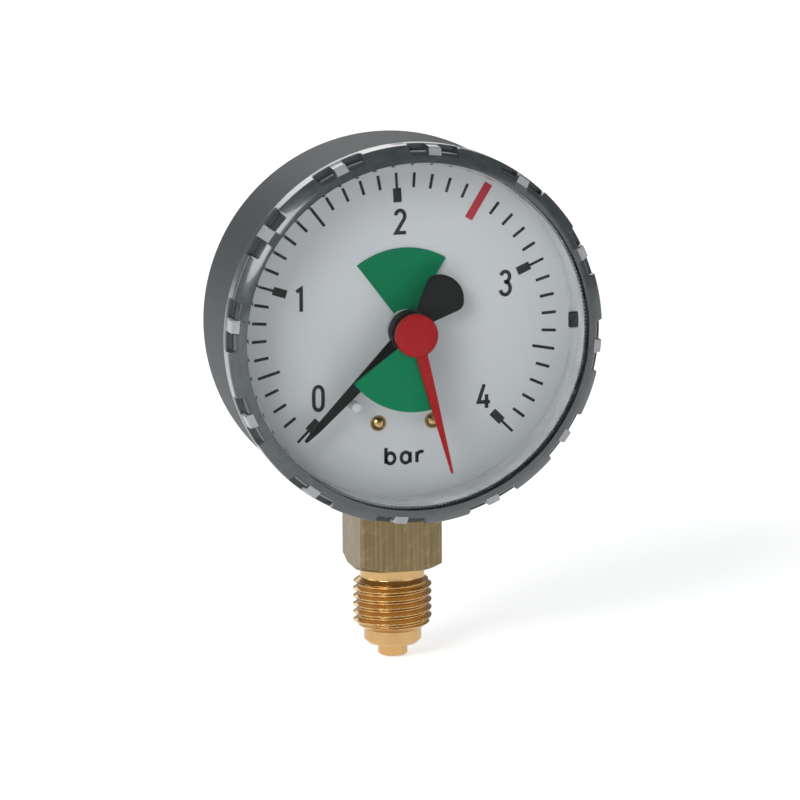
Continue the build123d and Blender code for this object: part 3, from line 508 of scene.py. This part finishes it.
# The pane's index is lower than acrylic's 1.49, so that its reflection doesn't veil the dial.
CLEAR_TINT, PANE_INDEX, ACRYLIC_INDEX = (0.985, 0.99, 0.99, 1.0), 1.12, 1.49
clear_finish = finish_of(
    "clear_plastic", clear_plastic, Base_Color=CLEAR_TINT, Transmission_Weight=1.0, IOR=PANE_INDEX
)
# Lugs and slots take dark tones, painted shade for the dark case seen through the clear plastic; tongues and
# teeth take pale tones, painted light for the light that the clear plastic gathers there.
lug_painted_shade_tones = painted_rim_tones((0.060, 0.072, 0.076), (0.018, 0.024, 0.026))
lug_finish = finish_of("lug_painted_shade", lug_painted_shade_tones, IOR=ACRYLIC_INDEX, Coat_Weight=0.4)
tongue_finish = finish_of("tongue_painted_light", painted_rim_tones((0.34, 0.335, 0.35), (0.20, 0.21, 0.225)), IOR=ACRYLIC_INDEX)
slot_finish = finish_of("slot_painted_shade", painted_rim_tones((0.045, 0.054, 0.057), (0.014, 0.018, 0.019)), IOR=ACRYLIC_INDEX)
tooth_painted_light_tones = painted_rim_tones((0.52, 0.56, 0.58), (0.34, 0.37, 0.40))
tooth_finish = finish_of("tooth_painted_light", tooth_painted_light_tones, Transmission_Weight=0.2, IOR=ACRYLIC_INDEX)
rim_points, rim_kinds = cap_rings()
cap = pole_skin("window_cap", rim_points, clear_finish)
for rough in (lug_finish, tongue_finish, slot_finish, tooth_finish):
    cap.data.materials.append(rough)
cap.data.polygons.foreach_set("material_index", rim_kinds)
crease(cap, 30)
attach(cap, "window_cap")
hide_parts("window")


# Dial: aluminium sheet sprayed white, keyed by the case's ribs and held by two screws.
# Everything on it is printed.
def dial_white(at):
    peel = at.noise(900.0, 3.0, 0.5)
    cloud = at.noise(30.0, 2.0, 0.5)
    return {
        "Base Color": cloud.tint((0.60, 0.625, 0.64), (0.64, 0.665, 0.68)),
        "Roughness": 0.42 + 0.1 * peel,
        "Bump": (peel, 0.12, 0.00002),
    }


dress("dial", finish_of("dial_white", dial_white), 0.0001)


def printed(colour):
    """Screen ink of one colour, a little uneven in gloss and depth."""
    deep = tuple(0.8 * part for part in colour)

    def ink(at):
        blot = at.noise(1500.0, 3.0, 0.6)
        return {"Base Color": blot.tint(deep, colour), "Roughness": 0.6 + 0.15 * blot}

    return ink


black_ink = finish_of("black_ink", printed((0.012, 0.013, 0.013)))
red_ink = finish_of("red_ink", printed((0.50, 0.028, 0.050)))
DIAL_FACE_Y = -10.0
INK_HIGH = 0.02


def print_on_dial(name, outlines, material):
    """Raised ink: each outline is a closed run of (x, z) points about the dial's middle, made a flat face with a
    thin edge."""
    points, faces = [], []
    for outline in outlines:
        outline = np.asarray(outline, dtype=float)
        area = np.sum(outline[:, 0] * np.roll(outline[:, 1], -1) - np.roll(outline[:, 0], -1) * outline[:, 1])
        if area < 0.0:
            outline = outline[::-1]
        count, start = len(outline), len(points)
        for depth in (DIAL_FACE_Y - INK_HIGH, DIAL_FACE_Y):
            points += [(x * MM, depth * MM, (CENTRE_Z + z) * MM) for x, z in outline]
        faces.append(list(range(start, start + count)))
        for k in range(count):
            after = (k + 1) % count
            faces.append([start + k, start + count + k, start + count + after, start + after])
    mesh = bpy.data.meshes.new(name)
    mesh.from_pydata(points, [], faces)
    mesh.materials.append(material)
    made = bpy.data.objects.new(name, mesh)
    bpy.context.collection.objects.link(made)
    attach(made, "housing")
    return made


def tick(clock, inner, outer, wide):
    """A bar that lies along the radius at a clock angle."""
    a = math.radians(clock)
    along = np.array([math.sin(a), math.cos(a)])
    across = np.array([math.cos(a), -math.sin(a)]) * wide / 2.0
    return [along * inner - across, along * outer - across, along * outer + across, along * inner + across]


def scale_clock(tenths):
    """Clock angle of a mark: the first mark stands apart from the second, after it the steps are even."""
    return -135.0 if tenths == 0 else 135.0 - 6.9 * (40 - tenths)


marks = []
for tenths in [0] + list(range(2, 41)):
    clock = scale_clock(tenths)
    if tenths % 10 == 0:
        marks += [tick(clock, 20.9, 23.25, 1.4), tick(clock, 23.2, 25.8, 0.45)]
    elif tenths == 25:
        limit_clock = clock
    elif tenths % 10 == 5:
        marks.append(tick(clock, 22.0, 25.85, 0.5))
    else:
        marks.append(tick(clock, 23.3, 25.75, 0.5))
print_on_dial("scale_marks", marks, black_ink)
print_on_dial("limit_mark", [tick(limit_clock, 20.7, 27.35, 1.4)], red_ink)


def pen_line(path, wide):
    """The outlines that a pen of even width leaves along a run of points: one four-sided piece per step, mitred
    where two meet."""
    path = np.asarray(path, dtype=float)
    closed = np.allclose(path[0], path[-1])
    step = np.diff(path, axis=0)
    step /= np.linalg.norm(step, axis=1)[:, None]
    side = np.stack([-step[:, 1], step[:, 0]], axis=-1)
    before = np.concatenate([side[-1:] if closed else side[:1], side])
    ahead = np.concatenate([side, side[:1] if closed else side[-1:]])
    mitre = before + ahead
    mitre /= np.linalg.norm(mitre, axis=1)[:, None]
    mitre *= (wide / 2.0) / np.maximum(np.sum(mitre * ahead, axis=1), 0.35)[:, None]
    left, right_side = path + mitre, path - mitre
    return [[left[k], left[k + 1], right_side[k + 1], right_side[k]] for k in range(len(step))]


def bow(cx, cz, rx, rz, start, end, count=14):
    """Points along part of an ellipse, angles in degrees anticlockwise from the right."""
    t = np.radians(np.linspace(start, end, count))
    return list(zip(cx + rx * np.cos(t), cz + rz * np.sin(t)))


# Numerals: upright, narrow, with pen strokes of one width, about 4 mm tall.
NUMERALS = {
    "0": [bow(0.0, 0.85, 0.78, 1.12, 180, 0) + bow(0.0, -0.85, 0.78, 1.12, 0, -180) + [(-0.78, 0.85)]],
    "1": [[(-0.62, 1.28), (0.18, 1.82), (0.18, -2.0)]],
    "2": [bow(0.0, 1.0, 0.78, 0.96, 170, -28) + [(-0.72, -1.74), (0.98, -1.74)]],
    "3": [
        bow(-0.04, 1.06, 0.74, 0.88, 165, -80) + [(-0.2, 0.14)],
        [(-0.2, 0.14)] + bow(-0.06, -0.86, 0.86, 1.08, 88, -165),
    ],
    "4": [[(0.12, 2.0), (-0.88, -0.96), (1.1, -0.96)], [(0.5, 0.3), (0.5, -2.0)]],
}
NUMERAL_PLACES = {
    "0": (-14.68, -11.04),
    "1": (-17.6, 5.5),
    "2": (-0.7, 17.55),
    "3": (17.1, 6.65),
    "4": (13.3, -12.1),
}
figures = []
for numeral, strokes in NUMERALS.items():
    shift = np.array(NUMERAL_PLACES[numeral])
    for stroke in strokes:
        figures += [np.asarray(outline) + shift for outline in pen_line(stroke, 0.62)]
print_on_dial("numerals", figures, black_ink)

# Unit: the word bar in small letters above the bottom edge.
letters = []
unit = {
    -2.6: [[(-0.75, 1.7), (-0.75, -1.0)], bow(0.0, -0.1, 0.75, 0.9, 180, -180, 22)],
    0.0: [bow(0.0, -0.1, 0.75, 0.9, 180, -180, 22), [(0.75, 0.8), (0.75, -1.0)]],
    2.5: [[(-0.6, 0.8), (-0.6, -1.0)], bow(0.15, -0.1, 0.75, 0.9, 175, 60, 8)],
}
for shift_x, strokes in unit.items():
    for stroke in strokes:
        letters += [np.asarray(outline) + np.array([shift_x, -21.6]) for outline in pen_line(stroke, 0.58)]
print_on_dial("unit_letters", letters, black_ink)

# Dial screws: brass, domed, without a slot on the visible side.
dress("dial_screws", turned_brass_finish)


# Range plates: thin green plates, one on the dial's boss and one on the mark pointer's neck.
# Each is turned by hand.
def range_green(at):
    mottle = at.noise(700.0, 3.0, 0.6)
    return {
        "Base Color": mottle.tint((0.002, 0.175, 0.072), (0.004, 0.215, 0.090)),
        "Roughness": 0.40 + 0.15 * mottle,
        "Bump": (mottle, 0.15, 0.00002),
    }


range_green_finish = finish_of("range_green", range_green, Specular_IOR_Level=0.05)
dress("range_plate_rear", range_green_finish, 0.00005)
dress("range_plate_front", range_green_finish, 0.00005)


# Ring that keeps the rear range plate on the boss.
def light_plastic(at):
    mottle = at.noise(800.0, 3.0, 0.6)
    return {
        "Base Color": mottle.tint((0.50, 0.53, 0.54), (0.60, 0.63, 0.64)),
        "Roughness": 0.4 + 0.15 * mottle,
    }


dress("range_ring", finish_of("light_plastic", light_plastic), 0.00008)


# Pointer: pressed aluminium, painted matt black, pushed on the pinion arbor.
def pointer_black(at):
    peel = at.noise(1100.0, 3.0, 0.6)
    return {
        "Base Color": peel.tint((0.009, 0.010, 0.010), (0.015, 0.016, 0.016)),
        "Roughness": 0.42 + 0.14 * peel,
        "Bump": (peel, 0.12, 0.00002),
    }


dress("pointer", finish_of("pointer_black", pointer_black, Specular_IOR_Level=0.12), 0.00008)


# Mark pointer: red moulding that turns in the middle of the pane.
def mark_red(at):
    mottle = at.noise(600.0, 3.0, 0.6)
    return {
        "Base Color": mottle.tint((0.32, 0.008, 0.011), (0.40, 0.012, 0.016)),
        "Roughness": 0.38 + 0.12 * mottle,
        "Bump": (mottle, 0.12, 0.00002),
    }


mark_finish = finish_of("mark_red", mark_red, Specular_IOR_Level=0.1)
HUB_R = 3.55


def hub_rings(section, columns=96):
    """A turned form about the dial's axis: each (radius, depth) of the section swept round."""
    turn = np.linspace(0.0, 2.0 * np.pi, columns, endpoint=False)
    section = np.asarray(section, dtype=float)
    x = section[:, :1] * np.sin(turn)
    z = CENTRE_Z + section[:, :1] * np.cos(turn)
    return np.stack([x, np.broadcast_to(section[:, 1:], x.shape), z], axis=-1) * MM


def hand_skin(name, half_outline, front_y, back_y, clock, material):
    """A flat hand: the half outline, (half width, reach) from tail to tip, is mirrored, and its front edges are
    drawn in a little so that they catch the light. The hand is then turned to its clock angle."""
    half = np.asarray(half_outline, dtype=float)
    outline = np.concatenate([half, half[::-1] * (-1.0, 1.0)])
    inset = np.concatenate([half - (0.05, 0.0), (half[::-1] - (0.05, 0.0)) * (-1.0, 1.0)])
    a = math.radians(clock)
    rings = []
    for line, depth in ((outline, back_y), (outline, front_y + 0.05), (inset, front_y)):
        x = line[:, 0] * math.cos(a) + line[:, 1] * math.sin(a)
        z = CENTRE_Z - line[:, 0] * math.sin(a) + line[:, 1] * math.cos(a)
        rings.append(np.stack([x, np.full_like(x, depth), z], axis=-1) * MM)
    made = ring_skin(name, np.array(rings), material)
    crease(made, 30)
    return made


mark_section = [(0.0, -18.38), (3.3, -18.38), (3.45, -18.33), (HUB_R, -18.2), (HUB_R, -17.2), (3.45, -17.1)]
mark_section += [(1.8, -17.1), (1.8, -16.7)]
mark_section += [(2.1, -16.68), (2.1, -16.42), (0.0, -16.4)]
mark_hub = pole_skin("mark_hub", hub_rings(mark_section), mark_finish)
crease(mark_hub, 35)
needle = [(1.0, 2.6), (0.95, 5.0), (0.75, 11.0), (0.43, 18.0), (0.19, 23.6), (0.14, 23.9)]
mark_needle = hand_skin("mark_needle", needle, -17.95, -17.45, 165.6, mark_finish)
for piece in (mark_hub, mark_needle):
    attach(piece, "mark")
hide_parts("mark_pointer")


# Movement: stamped brass plates, gears and pillars, hidden behind the dial.
def stamped_brass(at):
    brushed = at.stretched(300.0, 300.0, 2600.0).noise(1.0, 3.0, 0.6)
    cloud = at.noise(200.0, 3.0, 0.5)
    return {
        "Base Color": cloud.tint((0.74, 0.55, 0.26), (0.84, 0.66, 0.36)),
        "Roughness": 0.25 + 0.15 * cloud + 0.08 * brushed,
        "Bump": (brushed, 0.3, 0.00001),
    }


stamped_finish = finish_of("stamped_brass", stamped_brass, Metallic=1.0)
stamped = ("tube_tip", "link", "sector_gear", "front_plate", "back_plate", "pillars")
spring = ("hairspring", "hairspring_collet", "hairspring_stud")
for node in stamped + spring:
    dress(node, stamped_finish)


def ground_steel(at):
    lap = at.stretched(400.0, 4000.0, 400.0).noise(1.0, 2.0, 0.6)
    return {"Base Color": lap.tint((0.52, 0.53, 0.54), (0.64, 0.65, 0.66)), "Roughness": 0.2 + 0.12 * lap}


steel_finish = finish_of("ground_steel", ground_steel, Metallic=1.0)
for node in ("tip_pin", "tail_pin", "sector_arbor", "pinion_arbor"):
    dress(node, steel_finish)
dress("plate_screws", zinc_finish)
dress("movement_screws", zinc_finish)


# Bourdon tube: bronze tube, drawn flat and bent round, soft soldered into the stem and to its tip.
# It is elastic; here it is built as one rigid mesh in place, tied to no body.
def tube_bronze(at):
    heat = at.noise(90.0, 4.0, 0.6)
    fine = at.noise(1400.0, 3.0, 0.6)
    return {
        "Base Color": heat.tint((0.62, 0.40, 0.22), (0.78, 0.56, 0.33)),
        "Roughness": 0.3 + 0.15 * heat + 0.06 * fine,
        "Bump": (fine, 0.2, 0.00001),
    }


TUBE_R, TUBE_HALF, TUBE_STRAIGHT, TUBE_Y = 23.0, 1.2, 2.3, 1.9
TUBE_FROM, TUBE_SWEEP = 194.5, 285.5


def tube_rings(stations=191):
    """The tube's section is two half circles joined by two straights, carried by angle round the dial's axis."""
    bend = np.linspace(0.0, np.pi, 17)
    half = np.stack([np.cos(bend) * TUBE_HALF, np.sin(bend) * TUBE_HALF + TUBE_STRAIGHT], axis=-1)
    section = np.concatenate([half, -half])
    turn = np.radians(TUBE_FROM + np.linspace(0.0, TUBE_SWEEP, stations))[:, None]
    reach = TUBE_R + section[None, :, 0]
    depth = np.broadcast_to(TUBE_Y + section[None, :, 1], reach.shape) + 0.0 * turn
    return np.stack([reach * np.sin(turn), depth, CENTRE_Z + reach * np.cos(turn)], axis=-1) * MM


tube = ring_skin("tube_wound", tube_rings(), finish_of("tube_bronze", tube_bronze, Metallic=1.0))
tube_shape = bmesh.new()
tube_shape.from_mesh(tube.data)
bmesh.ops.recalc_face_normals(tube_shape, faces=tube_shape.faces)
tube_shape.to_mesh(tube.data)
tube_shape.free()
crease(tube, 50)
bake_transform(tube)
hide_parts("bourdon_tube")
